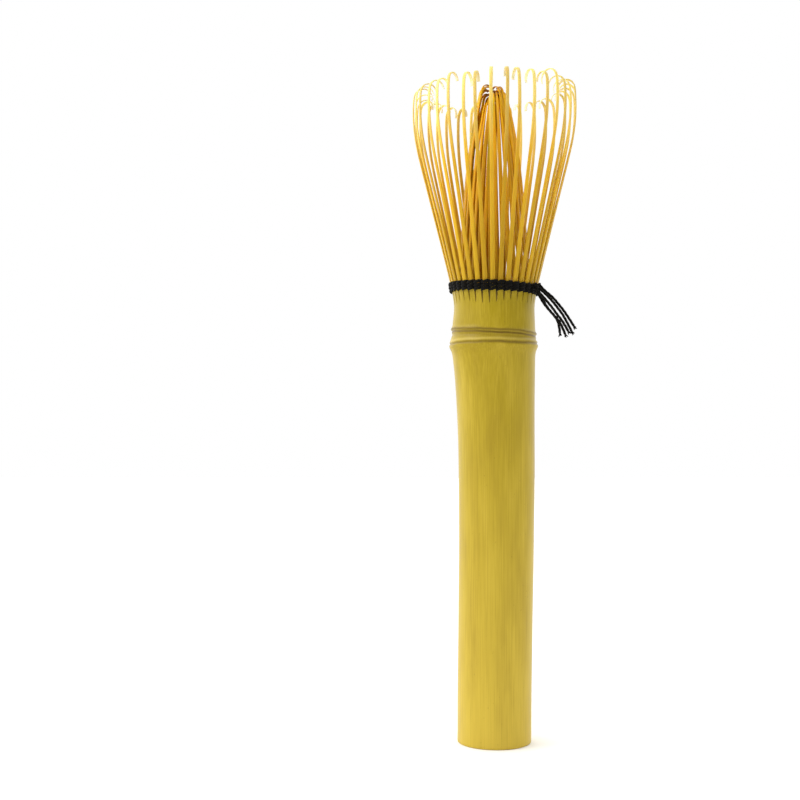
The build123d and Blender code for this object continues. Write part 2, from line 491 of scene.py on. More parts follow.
@dataclass(frozen=True)
class SplitBamboo:
    """Bamboo split and shaved thin, without its skin.

    It gives a soft warm face with long fine fibres, thin enough for light to glow through its edges, and a
    colour that changes from the root to the tip.
    """

    name: str
    root: str
    middle: str
    tip: str
    end: str
    dark: str = "#8C6608"
    fibre_width: float = 0.14
    fibre_length: float = 9.0
    fibre_share: float = 0.4
    tone_share: float = 0.45
    glow: float = 0.45

    def make(self) -> bpy.types.Material:
        """Builds the material. It reads the tine's own surface place, and its "along" and "tone" tags."""
        material, tree = new_material(self.name)
        # stood up, so that the streaks' third axis runs along the tine
        flat = add_node(tree, "ShaderNodeUVMap", {}, uv_map="surface").outputs[0]
        upright = {"Vector": flat, "Rotation": (math.pi / 2, 0, 0)}
        turned = add_node(tree, "ShaderNodeMapping", upright).outputs[0]
        fibre = streaks(tree, turned, self.fibre_width, self.fibre_length)
        along = add_node(tree, "ShaderNodeAttribute", {}, attribute_name="along").outputs["Fac"]
        tone = add_node(tree, "ShaderNodeAttribute", {}, attribute_name="tone").outputs["Fac"]
        colour = tint(tree, linear(self.root), linear(self.middle), along, (0.05, 0.4), 1)
        colour = tint(tree, colour, linear(self.tip), along, (0.55, 0.9), 1)
        colour = tint(tree, colour, linear(self.end), along, (0.93, 0.99), 1)
        # each tine is a little darker or lighter than the next, and its fibres show as fine lines
        colour = tint(tree, colour, linear(self.dark), tone, (0, 1), self.tone_share)
        colour = tint(tree, colour, linear(self.dark), fibre, (0.52, 0.72), self.fibre_share)
        relief = {"Height": fibre, "Distance": 0.02 * MM, "Strength": 0.3}
        feeds = {
            "Base Color": colour,
            "Roughness": 0.42,
            "Normal": add_node(tree, "ShaderNodeBump", relief).outputs[0],
            "IOR": 1.5,
            "Specular IOR Level": 0.12,
            "Subsurface Weight": self.glow,
            "Subsurface Radius": (1.0, 0.75, 0.22),
            "Subsurface Scale": 0.8 * MM,
        }
        close_material(tree, feeds)
        return material


@dataclass(frozen=True)
class CottonThread:
    """Black dyed cotton, three plies twisted.

    It gives a matt, almost black cord with slanting fibres, and a faint bloom where loose ones catch light.
    """

    dye: str = "#040302"
    worn: str = "#15120C"
    fibre_width: float = 0.07
    fibre_length: float = 0.8
    fibre_slant: float = 28.0

    def make(self) -> bpy.types.Material:
        """Builds the material. It reads the thread's own UV, in millimetres round and along it."""
        material, tree = new_material("cotton_thread_black_dyed_twisted")
        # the fibres of a ply lie at a slant to the thread
        flat = add_node(tree, "ShaderNodeUVMap", {}, uv_map="surface").outputs[0]
        slant = {"Vector": flat, "Rotation": (0, 0, math.radians(self.fibre_slant))}
        slanted = add_node(tree, "ShaderNodeMapping", slant).outputs[0]
        scale = (1 / self.fibre_width, 1 / self.fibre_length, 1.0)
        fine = add_node(tree, "ShaderNodeMapping", {"Vector": slanted, "Scale": scale}).outputs[0]
        noise = {"Vector": fine, "Scale": 1.0, "Detail": 3.0}
        fibre = add_node(tree, "ShaderNodeTexNoise", noise).outputs[0]
        relief = {"Height": fibre, "Distance": 0.05 * MM, "Strength": 0.6}
        feeds = {
            "Base Color": tint(tree, linear(self.dye), linear(self.worn), fibre, (0.4, 0.75), 1),
            "Roughness": 0.85,
            "Normal": add_node(tree, "ShaderNodeBump", relief).outputs[0],
            "Sheen Weight": 0.04,
            "Sheen Roughness": 0.5,
            "Specular IOR Level": 0.1,
        }
        close_material(tree, feeds)
        return material


@dataclass(frozen=True)
class StudioPaper:
    """Matt white paper, which the whisk stands on: an even pale ground that takes a soft shadow."""

    shade: str = "#FBFBF9"

    def make(self) -> bpy.types.Material:
        """Builds the material, with the faint tooth of paper in its roughness."""
        material, tree = new_material("paper_white_matt")
        place = add_node(tree, "ShaderNodeTexCoord", {}).outputs["Object"]
        tooth = add_node(tree, "ShaderNodeTexNoise", {"Vector": place, "Scale": 900.0}).outputs[0]
        gloss = {0: tooth, 1: 0.3, 2: 0.7, 3: 0.85, 4: 0.95}
        roughness = add_node(tree, "ShaderNodeMapRange", gloss).outputs[0]
        close_material(tree, {"Base Color": linear(self.shade), "Roughness": roughness})
        return material


def dress(piece: bpy.types.Object, finish: bpy.types.Material, body: str, node: str) -> None:
    """Gives a piece its finish, its body and the solid that it stands for.

    Args:
        piece: the piece.
        finish: its material.
        body: the body that it rides on.
        node: the solid that it replaces.
    """
    piece.data.materials.append(finish)
    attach(piece, body)
    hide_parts(node)
    log.info("%s: %d faces, on %s, for %s", piece.name, len(piece.data.polygons), body, node)


# --- The handle ---------------------------------------------------------------------------


class Wall(Enum):
    """Which face of the culm a row of points is on."""

    SKIN = 0
    CUT = 1


@dataclass(frozen=True)
class Welt:
    """A band that runs round the culm with a node line, raised, sunk or stained."""

    strength: float
    above: float
    width: float

    def at(self, distance: Array) -> Array:
        """Its size at distances above the line: strength times a bell curve about its own middle."""
        return self.strength * bell(distance - self.above, self.width)


@dataclass
class Rings:
    """Rings of points that gather into one surface of the culm, one point at each bearing."""

    bearing: Array
    radii: list[Array] = field(default_factory=list)
    heights: list[Array] = field(default_factory=list)
    tags: dict[str, list[Array]] = field(default_factory=lambda: {tag: [] for tag in CULM_TAGS})

    def add(self, radius: object, height: object, wall: Wall, brown_and_shade: object = 0, worn: object = 0) -> None:
        """Adds a ring.

        Args:
            radius: its radius in millimetres, one for all or one for each point.
            height: its height, likewise.
            wall: the face that it is on.
            brown_and_shade: the depth of browning in the node's lines, with the painted shade below the
                upper line, from 0 to 1.
            worn: the strength of the painted highlight on the ridge, from 0 to 1.
        """
        shape = np.zeros_like(self.bearing)
        self.radii.append(shape + radius)
        self.heights.append(shape + height)
        for tag, value in zip(CULM_TAGS, (worn, brown_and_shade, wall.value)):
            self.tags[tag].append(shape + value)


@dataclass
class HandleCulm:
    """The handle: a culm with a node near its top, bored by nature below it and split into teeth above.

    Sizes are in millimetres. The outline, the bow and the cup's floor are pairs: (height, radius), (height,
    shift) and (radius, height). Columns are shares of a pitch, crowded at the slots' edges, and rows are
    (first height, last height, count), crowded at the node.
    """

    outline: Knots = (
        (0, 10.8), (20, 10.83), (45, 10.88), (62, 10.98), (77, 11.13), (92, 11.28), (99, 11.45), (106, 11.7),
        (111, 11.98), (114, 12.2), (117, 12.36), (120, 12.24), (123, 12.08), (125.7, 11.9), (127.6, 11.85),
        (129.4, 12.0), (131, 12.28), (COLLAR_TOP, 12.62),
    )
    bow: Knots = (
        (0, -0.25), (15, -0.15), (42, 0.26), (62, 0.5), (78, 0.6), (92, 0.5), (106, 0.15), (117, -0.25),
        (128, 0.0), (140, 0),
    )
    base_round: float = 0.45
    bore_radius: float = 6.6
    bore_round: float = 0.6
    bore_top: float = 116.0
    bore_corner: float = 0.7
    pole_radius: float = 0.4
    cup_radius: float = 9.6
    cup_floor: Knots = ((9.6, 121.5), (9.0, 120), (6, 119.6), (0.4, 119.5))
    tooth_back: float = 11.45
    ring_face: float = 11.36
    ring_drop: float = 0.25
    slot_bottom: float = 128.2
    slot_half_angle: float = 1.6
    slot_sharpness: float = 2.2
    slot_unevenness: float = 0.5
    columns: tuple[float, ...] = (0, 0.05, 0.1, 0.15, 0.26, 0.38, 0.5, 0.62, 0.74, 0.85, 0.9, 0.95)
    rows: tuple[tuple[float, float, int], ...] = ((1, 112, 38), (112.4, 124, 96), (124.6, 127.2, 6))
    lower_line: float = 116.72
    upper_line: float = 119.92
    line_tilt: float = 0.75
    swelling: Welt = Welt(0.74, above=-0.35, width=1.6)
    ridge: Welt = Welt(0.46, above=0.25, width=0.75)
    notch: Welt = Welt(-0.16, above=-1.2, width=0.5)
    lower_groove: Welt = Welt(-0.3, above=0.0, width=0.34)
    upper_groove: Welt = Welt(-0.36, above=-0.1, width=0.38)
    lower_stain: Welt = Welt(0.6, above=0.0, width=0.5)
    high_stain: Welt = Welt(0.8, above=0.42, width=0.38)
    low_stain: Welt = Welt(0.95, above=-0.42, width=0.42)
    # painted shade in the hollow below the upper line
    painted_shade_below: Welt = Welt(0.36, above=-1.25, width=0.9)
    # the painted highlight on the ridge above the lower line
    ridge_highlight: Welt = Welt(1.0, above=0.95, width=0.42)

    def skin_radius(self, height: Array, bearing: Array) -> tuple[Array, Array, Array]:
        """How far the skin stands out, where its browned node lines and the painted shade below the upper
        one run, and where the ridge's painted highlight runs.

        A smooth curve through a few radii is the plain outline. Welts add the swelling at the lower line
        and the ridge at the upper one, and take away the notch between them and the two fine grooves. The
        lines wander as a sum of three sines, and the upper one is tilted. The culm is a little oval.

        Args:
            height: heights in millimetres.
            bearing: bearings in degrees, of the same shape.

        Returns:
            The radii, and from 0 to 1 the depth of browning with its painted shade, and the strength of the
            ridge's painted highlight.
        """
        angle = np.radians(bearing)
        wander = 0.07 * np.sin(3 * angle + 1) + 0.05 * np.sin(7 * angle) + 0.03 * np.sin(17 * angle + 2)
        lower = height - self.lower_line - wander
        upper = height - self.upper_line + self.line_tilt * np.cos(angle) + wander
        oval = 0.06 * np.cos(2 * angle + 0.7) + 0.04 * np.cos(3 * angle + height / 40)
        # the skin swells and sinks by a hair along its length, as grown things do
        oval = oval + 0.03 * np.sin(height / 6 + 2 * np.cos(angle)) * np.sin(height / 17 + 2)
        # it is true where it was cut: at the foot and at the rim
        fade = np.clip(height / 5, 0, 1) * np.clip((130 - height) / 4, 0, 1)
        radius = hermite(self.outline, height) + oval * fade
        radius = radius + self.swelling.at(lower) + self.ridge.at(upper) + self.notch.at(upper)
        radius = radius + self.lower_groove.at(lower) + self.upper_groove.at(upper)
        # the lower line is browner on one side, and the upper one is double, with painted shade spread below
        # it in the hollow between the lines
        one_side = 1 + np.cos(angle + 1.1) / 3
        browns_and_shade = [darkening.at(upper) for darkening in (self.high_stain, self.low_stain, self.painted_shade_below)]
        brown_and_shade = np.maximum.reduce([one_side * self.lower_stain.at(lower), *browns_and_shade])
        return radius, brown_and_shade, self.ridge_highlight.at(lower)

    def rim(self, bearing: Array, offset: float) -> Array:
        """How high the split rim reaches: pointed slots, one a pitch, between teeth as high as the collar.

        A slot's side rises as its distance from the slot's middle, over its half angle, to a power.

        Args:
            bearing: bearings in degrees.
            offset: where the first slot is.

        Returns:
            The heights.
        """
        from_slot = np.abs((bearing - offset + TINE_PITCH / 2) % TINE_PITCH - TINE_PITCH / 2)
        rise = np.clip(from_slot / self.slot_half_angle, 0, 1) ** self.slot_sharpness
        uneven = self.slot_unevenness * np.sin(5.3 * np.radians(bearing)) * (1 - rise)
        return self.slot_bottom + uneven + (COLLAR_TOP - self.slot_bottom) * rise

    def add_bore(self, rings: Rings) -> None:
        """Adds the bore from the middle of its roof down to its mouth, then the rounded base edge."""
        roof = ((self.pole_radius, 0), (0.9 * self.bore_radius, 0), (self.bore_radius, self.bore_corner))
        for radius, drop in roof:
            rings.add(radius, self.bore_top - drop, Wall.CUT)
        for height in (90, 60, 30, self.bore_round):
            rings.add(self.bore_radius, height, Wall.CUT)
        turn = np.linspace(0, np.pi / 2, 5)
        out, down = 1 - np.cos(turn), 1 - np.sin(turn)
        for radius, height in zip(self.bore_radius + self.bore_round * out[1:], self.bore_round * down[1:]):
            rings.add(radius, height, Wall.CUT)
        base_radius = self.outline[0][1]
        for radius, height in zip(base_radius - self.base_round * down, self.base_round * out):
            rings.add(radius, height, Wall.SKIN)

    def add_skin(self, rings: Rings, rim: Array) -> None:
        """Adds the skin from the base edge to the slotted rim. Rows crowd together at the node."""
        for height in np.concatenate([np.linspace(*span) for span in self.rows]):
            radius, brown_and_shade, worn = self.skin_radius(height + 0 * rings.bearing, rings.bearing)
            rings.add(radius, height, Wall.SKIN, brown_and_shade, worn)
        top = self.rows[-1][1]
        for share in (0.2, 0.4, 0.6, 0.8, 0.93, 1.0):
            height = top + (rim - top) * share
            radius, brown_and_shade, worn = self.skin_radius(height, rings.bearing)
            rings.add(radius, height, Wall.SKIN, brown_and_shade, worn)

    def add_collar(self, rings: Rings, rim: Array, ring_rim: Array) -> None:
        """Adds the teeth's backs, the ring that the inner tines are split from, and the cup."""
        groove = self.slot_bottom - 0.05
        rings.add(self.tooth_back, rim, Wall.CUT)
        rings.add(self.tooth_back, groove, Wall.CUT)
        rings.add(self.ring_face, groove, Wall.CUT)
        rings.add(self.ring_face, ring_rim, Wall.CUT)
        rings.add(self.cup_radius, ring_rim, Wall.CUT)
        rings.add(self.cup_radius, self.slot_bottom - 1, Wall.CUT)
        for radius, height in self.cup_floor:
            rings.add(radius, height, Wall.CUT)

    def build(self) -> bpy.types.Object:
        """Makes the culm as one closed surface: down the bore, out round the base, up and into the cup.

        A point is (radius cos bearing + bow, radius sin bearing, height), as the culm isn't quite straight.

        Returns:
            The culm.
        """
        first_slot = FIRST_BEARING + TINE_PITCH / 2
        pitches = (np.arange(TINE_COUNT)[:, None] + np.array(self.columns)).ravel()
        bearing = first_slot + TINE_PITCH * pitches
        rings = Rings(bearing)
        rim = self.rim(bearing, first_slot)
        self.add_bore(rings)
        self.add_skin(rings, rim)
        self.add_collar(rings, rim, self.rim(bearing, FIRST_BEARING) - self.ring_drop)
        angle = np.radians(bearing)
        radius, height = np.stack(rings.radii), np.stack(rings.heights)
        bow = hermite(self.bow, height)
        surface = np.stack([radius * np.cos(angle) + bow, radius * np.sin(angle), height], axis=-1)
        points, quads = skin_over(surface, closed=False)
        # the two poles, in the bore's roof and in the cup's floor, are cut faces with no browning, painted
        # shade or painted highlight
        poles = {"line": 0.0, "worn": 0.0, "cut": 1.0}
        tags = {tag: np.append(np.ravel(rows), [poles[tag]] * 2) for tag, rows in rings.tags.items()}
        return put_mesh("handle_culm_carved", points, quads, np.zeros((len(points), 2)), tags)


# --- Tines --------------------------------------------------------------------------------


@dataclass
class TineShape:
    """The sizes of one tine, in millimetres and degrees.

    Its widths and thicknesses are those at the knots, which are shares of its length.
    """

    hinge_radius: float
    hinge_height: float
    lean: float
    stem: float
    bend_radius: float
    bend_angle: float
    hook_radius: float
    hook_angle: float
    widths: tuple[float, float, float, float]
    thicknesses: tuple[float, float, float, float]
    knots: tuple[float, float, float, float] = (0, 0.4, 0.85, 1)
    root_depth: float = 1.4
    bend_softness: float = 2.0
    hook_softness: float = 0.5
    sway_power: float = 1.6
    squareness: float = 0.6
    stations: int = 84
    crowding: float = 1.45
    section: int = 14

    def path(self, sway: float) -> tuple[Array, Array]:
        """The tine's middle line in its own upright plane.

        Its face turns by the sum of two soft ramps: a slow one at the bend and a quick one at the hook.
        The places follow by adding up short steps in the direction that the face gives.

        Args:
            sway: how far the tip has moved across that plane.

        Returns:
            (n, 3) places as (outward, across, up), and the distance along, from 0 at the hinge.
        """
        turn = math.radians(self.bend_angle + self.lean)
        bend_end = self.stem + self.bend_radius * turn
        length = bend_end + self.hook_radius * math.radians(self.hook_angle - self.bend_angle)
        # stations crowd into the hook
        share = np.linspace(0, 1, self.stations)
        distance = -self.root_depth + (length + self.root_depth) * (1 - (1 - share) ** self.crowding)
        bend = ramp(distance - self.stem, self.bend_softness) / self.bend_radius
        hook = ramp(distance - bend_end, self.hook_softness) * (1 / self.hook_radius - 1 / self.bend_radius)
        face = bend + hook - math.radians(self.lean)
        step = np.diff(distance)
        middle = (face[1:] + face[:-1]) / 2
        outward = np.concatenate([[0], np.cumsum(-np.sin(middle) * step)])
        up = np.concatenate([[0], np.cumsum(np.cos(middle) * step)])
        outward += self.hinge_radius - np.interp(0, distance, outward)
        up += self.hinge_height - np.interp(0, distance, up)
        across = sway * np.clip(distance / length, 0, 1) ** self.sway_power
        return np.stack([outward, across, up], axis=-1), distance

    def add_to(self, bundle: Bundle, bearing: float, sway: float, twist: float, tone: float) -> None:
        """Adds one tine to a bundle: a rounded, flat section carried along the path.

        The section is a squared circle: x = |cos|^squareness and y = |sin|^squareness, with their signs. Its
        width and thickness are smooth curves along the length, and it twists slowly towards the tip.

        Args:
            bundle: what to add it to.
            bearing: the bearing of its plane, in degrees.
            sway: how far the tip has moved across that plane.
            twist: how far the tip has turned about its own length, in degrees.
            tone: how dark it is, from 0 to 1.
        """
        path, distance = self.path(sway)
        axes = upright_plane(bearing)
        line = path @ axes
        tangent = tangents(line)
        square = unit(np.cross(tangent, np.cross(axes[1], tangent)))
        outward = np.cross(square, tangent)
        share = np.clip(distance / distance[-1], 0, 1)
        turned = np.radians(twist) * share[:, None] ** 2
        face = np.cos(turned) * outward + np.sin(turned) * square
        side = np.cross(tangent, face)
        width = hermite(tuple(zip(self.knots, self.widths)), share)[:, None]
        thickness = hermite(tuple(zip(self.knots, self.thicknesses)), share)[:, None]
        around = np.arange(self.section) * 2 * np.pi / self.section
        reach = np.sign(np.cos(around)) * np.abs(np.cos(around)) ** self.squareness
        breadth = np.sign(np.sin(around)) * np.abs(np.sin(around)) ** self.squareness
        out = reach[None, :, None] * (thickness / 2)[..., None] * face[:, None, :]
        sideways = breadth[None, :, None] * (width / 2)[..., None] * side[:, None, :]
        points, quads = skin_over(line[:, None, :] + out + sideways, closed=False)
        # each tone reads its own stretch of the fibres, so no two tines look alike
        u = (breadth[None, :] * width / 2).ravel() + 3 * tone
        v = np.repeat(distance, self.section)
        uv = np.stack([np.append(u, [0, 0]), np.append(v, distance[[0, -1]])], axis=-1)
        along = np.append(np.repeat(share, self.section), [0, 1])
        bundle.take(points, quads, uv, {"along": along, "tone": np.full(len(points), tone)})


@dataclass
class TineRing:
    """A ring of tines split side by side, and the bodies that they move with, the same number on each.

    Sways and twists are the most that a tine has. The salt picks the uneven numbers that they follow.
    """

    family: str
    slot: str
    bodies: int
    shift: float
    sway: float
    twist: float
    salt: int

    def bearing(self, number: int) -> float:
        """The bearing of a tine, in degrees."""
        return FIRST_BEARING + TINE_PITCH * (number + self.shift)

    def shape(self, number: int) -> TineShape:
        """The sizes of one tine, which each ring gives."""
        raise NotImplementedError

    def build(self, finish: bpy.types.Material) -> None:
        """Makes each body's tines as one piece and hangs it on that body.

        Args:
            finish: the split bamboo.
        """
        per_body = TINE_COUNT // self.bodies
        for body in range(self.bodies):
            node = f"{self.family}_{body + 1:02d}"
            bundle = Bundle()
            for number in range(body * per_body, (body + 1) * per_body):
                self.shape(number).add_to(
                    bundle,
                    bearing=self.bearing(number),
                    sway=self.sway * spread(number, self.salt),
                    twist=self.twist * spread(number, self.salt + 1),
                    tone=0.5 + 0.5 * spread(number, self.salt + 2),
                )
            dress(bundle.finish(f"{node}_shaved"), finish, node, node)


@dataclass
class OuterTines(TineRing):
    """The ring that leans out, each tine on its own sprung joint, and longest at the skew's bearing."""

    family: str = "outer_tine"
    slot: str = "tines"
    bodies: int = TINE_COUNT
    shift: float = 0.0
    sway: float = 0.9
    twist: float = 18.0
    salt: int = 6
    skew: float = 1.1
    skew_bearing: float = -25.0

    def shape(self, number: int) -> TineShape:
        """The sizes of one tine, a little unlike those of its neighbours."""
        from_longest = math.radians(self.bearing(number) - self.skew_bearing)
        return TineShape(
            hinge_radius=OUTER_HINGE_RADIUS,
            hinge_height=BAND_HEIGHT,
            lean=14.4 + 0.5 * spread(number, 0),
            stem=41.1 + 0.5 * spread(number, 1) + self.skew * math.cos(from_longest),
            bend_radius=51.0,
            bend_angle=5,
            hook_radius=2.45 + 0.3 * spread(number, 2),
            hook_angle=188 + 20 * spread(number, 3),
            widths=(1.5, 1.14, 0.94, 0.95),
            thicknesses=(0.74, 0.5, 0.36, 0.26),
        )


@dataclass
class InnerTines(TineRing):
    """The cone of finer tines that lean in on each other, a few to a sprung joint."""

    family: str = "inner_tines"
    slot: str = "tines_inner"
    bodies: int = INNER_GROUPS
    shift: float = 0.5
    sway: float = 1.3
    twist: float = 58.0
    salt: int = 9
    skew: float = 0.9
    hook_radii: tuple[float, float] = (1.5, 0.95)

    def shape(self, number: int) -> TineShape:
        """The sizes of one tine: every second one hooks tighter, and those at the right are longest."""
        return TineShape(
            hinge_radius=INNER_HINGE_RADIUS,
            hinge_height=INNER_HINGE_HEIGHT,
            lean=-4.5 + 0.5 * spread(number, 12),
            stem=28.2 + 1.3 * spread(number, 4) + self.skew * math.cos(math.radians(self.bearing(number))),
            bend_radius=180.0,
            bend_angle=14,
            hook_radius=self.hook_radii[number % 2],
            hook_angle=165 + 25 * spread(number, 5),
            widths=(0.95, 1.05, 0.95, 0.68),
            thicknesses=(0.52, 0.46, 0.42, 0.3),
            root_depth=0.9,
            section=12,
        )


# --- Thread -------------------------------------------------------------------------------

PLY_COUNT = 3
PLY_RELIEF = 0.1
LAY_WIDTHS = 6
THREAD_SECTION = 14


def plied_tube(line: Array, radius: float, up: Array, closed: bool, squash: float = 1.0) -> Surface:
    """Plied thread along a line: rings whose radius swells once for each ply, turning as they go.

    The ring is r (1 + relief cos(plies (angle - twist))), and the twist turns once in about six thread
    widths. On a loop it is eased a little, so that the plies meet where the loop closes.

    Args:
        line: (n, 3) points, without a repeat of the first if closed.
        radius: the thread's mean radius.
        up: the direction that the rings' starts are square to.
        closed: whether the line is a loop.
        squash: how flat the thread is pressed, away from up.

    Returns:
        Points, faces and UV, the last in millimetres round and along the thread.
    """
    tangent = tangents(line, closed)
    side = unit(np.cross(np.broadcast_to(up, tangent.shape), tangent))
    face = np.cross(tangent, side)
    before = np.roll(line, 1, axis=0) if closed else np.concatenate([line[:1], line[:-1]])
    distance = np.cumsum(np.linalg.norm(line - before, axis=1))
    turns = distance / (2 * LAY_WIDTHS * radius)
    if closed:
        turns *= max(1, round(PLY_COUNT * turns[-1])) / PLY_COUNT / turns[-1]
    around = np.arange(THREAD_SECTION) * 2 * np.pi / THREAD_SECTION
    ring = radius * (1 + PLY_RELIEF * np.cos(PLY_COUNT * (around[None, :] - 2 * np.pi * turns[:, None])))
    out = (ring * np.cos(around))[..., None] * side[:, None, :] * squash
    upward = (ring * np.sin(around))[..., None] * face[:, None, :]
    points, quads = skin_over(line[:, None, :] + out + upward, closed)
    u = np.tile(around * radius, len(line))
    v = np.repeat(distance, THREAD_SECTION)
    if not closed:
        u, v = np.append(u, [0, 0]), np.append(v, [0, distance[-1]])
    return points, quads, np.stack([u, v], axis=-1)


@dataclass
class ThreadBand:
    """Rows of black thread, each of two strands twined round the roots of the outer tines."""

    rows: int = 3
    pitch: float = 0.92
    middle_radius: float = 12.5
    flare: float = 0.16
    depth: float = 0.74
    tightness: float = 1.7
    weave_rise: float = 0.2
    strand_radius: float = 0.44
    strand_squash: float = 0.66
    tilt: float = 0.5
    slip: float = 0.3
    steps_a_pitch: int = 14

    def strand(self, row: int, phase: float) -> Array:
        """One of a row's two strands: outside one tine, inside the next, and over the other strand between.

        Its radius is middle + depth tanh(tightness cos w) / tanh(tightness), and its height rises and falls
        with sin w, where w goes half round for each tine. Slower waves make the rows uneven, and closer at
        the back.

        Args:
            row: the row's number from the bottom, from 0.
            phase: 0 for one strand and pi for the other.

        Returns:
            (n, 3) points of a closed loop.
        """
        bearing = np.linspace(0, 2 * np.pi, TINE_COUNT * self.steps_a_pitch, endpoint=False)
        weave = TINE_COUNT / 2 * (bearing - math.radians(FIRST_BEARING)) + phase + row * np.pi
        above = row - (self.rows - 1) / 2
        in_out = np.tanh(self.tightness * np.cos(weave)) / math.tanh(self.tightness)
        radius = self.middle_radius + self.flare * above + self.depth * in_out
        radius = radius + 0.04 * np.sin(5 * bearing + row) + 0.03 * np.sin(11 * bearing + phase)
        pitch = self.pitch * (0.93 + 0.09 * np.cos(bearing + np.radians(100)))
        height = BAND_HEIGHT - self.slip + pitch * above + self.weave_rise * np.sin(weave)
        height = height + self.tilt * np.cos(bearing - 2.9) + 0.06 * np.sin(4 * bearing + row)
        return np.stack([radius * np.cos(bearing), radius * np.sin(bearing), height], axis=-1)

    def build(self, finish: bpy.types.Material) -> None:
        """Makes each row of two strands.

        Args:
            finish: the cotton.
        """
        upright = np.array([0.0, 0.0, 1.0])
        for row in range(self.rows):
            node = f"thread_row_{row + 1}"
            bundle = Bundle()
            for phase in (0.0, math.pi):
                line = self.strand(row, phase)
                bundle.take(*plied_tube(line, self.strand_radius, upright, True, self.strand_squash), {})
            dress(bundle.finish(f"{node}_twined"), finish, "handle", node)


@dataclass
class ThreadEnds:
    """The knot at the right of the band, and the five loose tails that hang out from it."""

    bearing: float = -34.0
    knot_radius: float = 14.4
    knot_size: float = 0.42
    knot_drop: float = 0.5
    strand_radius: float = 0.38
    hairs: int = 9
    hair_radius: float = 0.11
    hair_length: float = 0.9
    hair_root: float = 0.18
    hair_fan: float = 0.3

    def routes(self) -> list[list[tuple[float, float, float]]]:
        """Each tail's route, given as (outward along the knot's bearing, across it, up)."""
        return [
            [(14.3, 0.8, 133.8), (16.1, 1.0, 131.7), (18.5, 1.2, 129.9), (20.7, 1.4, 127.3),
             (22.5, 1.6, 125.1), (25.0, 1.8, 121.2)],
            [(14.3, 0.0, 132.9), (17.0, -0.1, 130.7), (19.3, -0.2, 128.4), (21.1, -0.2, 126.2),
             (23.0, -0.1, 123.8), (25.2, 0.0, 119.6)],
            [(14.4, -0.9, 132.2), (17.3, -1.1, 129.2), (19.8, -1.2, 126.4), (21.4, -1.3, 124.3),
             (23.1, -1.3, 122.4), (24.7, -1.2, 119.6)],
            [(14.2, 0.6, 131.9), (15.7, 0.8, 128.9), (17.5, 0.9, 126.2), (19.6, 0.9, 124.0),
             (20.8, 0.9, 122.1), (21.1, 0.9, 119.3)],
            [(14.3, -0.4, 131.8), (15.9, -0.3, 128.7), (18.1, -0.2, 126.0), (20.3, -0.2, 123.8),
             (22.0, -0.2, 121.8), (23.3, -0.2, 118.8)],
        ]

    def placed(self, local: Array) -> Array:
        """Points given as (outward, across, up) about the knot's bearing, as x, y and z."""
        return np.asarray(local) @ upright_plane(self.bearing)

    def smooth_route(self, route: list[tuple[float, float, float]]) -> Array:
        """A route's smooth line, read from a NURBS spline that has the route's points as control points.

        Args:
            route: the points.

        Returns:
            (n, 3) points in millimetres.
        """
        curve = bpy.data.curves.new("route", "CURVE")
        curve.dimensions = "3D"
        curve.resolution_u = 12
        spline = curve.splines.new("NURBS")
        spline.points.add(len(route) - 1)
        corners = np.column_stack([self.placed(route), np.ones(len(route))])
        spline.points.foreach_set("co", corners.ravel())
        spline.order_u = 3
        spline.use_endpoint_u = True
        holder = bpy.data.objects.new("route", curve)
        read = bpy.data.meshes.new_from_object(holder)
        points = np.empty(len(read.vertices) * 3)
        read.vertices.foreach_get("co", points)
        bpy.data.objects.remove(holder)
        bpy.data.meshes.remove(read)
        bpy.data.curves.remove(curve)
        return points.reshape(-1, 3)

    def frayed(self, bundle: Bundle, line: Array, number: int) -> None:
        """Adds the loose fibres at a tail's end: a few fine hairs that fan out a little.

        A hair's place is its root + t forward + fan (t |t| / length) away from the thread's middle, with t
        from just inside the thread to the hair's length.

        Args:
            bundle: what to add them to.
            line: the tail's line.
            number: the tail's number.
        """
        forward = unit(line[-1] - line[-3])
        side = unit(np.cross(forward, [0.3, 0.9, 0.1]))
        other = np.cross(forward, side)
        for hair in range(self.hairs):
            angle = 2 * math.pi * hair / self.hairs + number
            away = math.cos(angle) * side + math.sin(angle) * other
            length = self.hair_length + 0.35 * spread(hair, number)
            t = np.linspace(-0.3, 1, 9)[:, None] * length
            root = line[-1] + self.hair_root * away
            hair_line = root + t * forward + t * np.abs(t) * self.hair_fan * away / length
            bundle.take(*plied_tube(hair_line, self.hair_radius, np.array([0.2, 0.1, 1.0]), False), {})

    def build_knot(self, finish: bpy.types.Material) -> None:
        """Makes the knot: a trefoil, x = sin t + 2 sin 2t, y = cos t - 2 cos 2t, z = -sin 3t, pulled small.

        Args:
            finish: the cotton.
        """
        t = np.linspace(0, 2 * np.pi, 160, endpoint=False)
        across = self.knot_size * (np.sin(t) + 2 * np.sin(2 * t))
        up = 1.1 * self.knot_size * (np.cos(t) - 2 * np.cos(2 * t))
        outward = self.knot_radius - 0.85 * self.knot_size * np.sin(3 * t)
        line = self.placed(np.stack([outward, across, up + BAND_HEIGHT - self.knot_drop], axis=-1))
        bundle = Bundle()
        facing = self.placed(np.array([[1.0, 0.1, 0.2]]))[0]
        bundle.take(*plied_tube(line, self.strand_radius, facing, True), {})
        dress(bundle.finish("thread_knot_tied"), finish, "handle", "thread_knot")

    def build_tails(self, finish: bpy.types.Material) -> None:
        """Makes each tail with its frayed end.

        Args:
            finish: the cotton.
        """
        for number, route in enumerate(self.routes(), start=1):
            node = f"thread_tail_{number}"
            line = self.smooth_route(route)
            bundle = Bundle()
            bundle.take(*plied_tube(line, self.strand_radius, np.array([0.3, 0.2, 1.0]), False), {})
            self.frayed(bundle, line, number)
            dress(bundle.finish(f"{node}_plied"), finish, "handle", node)


# --- The studio ---------------------------------------------------------------------------


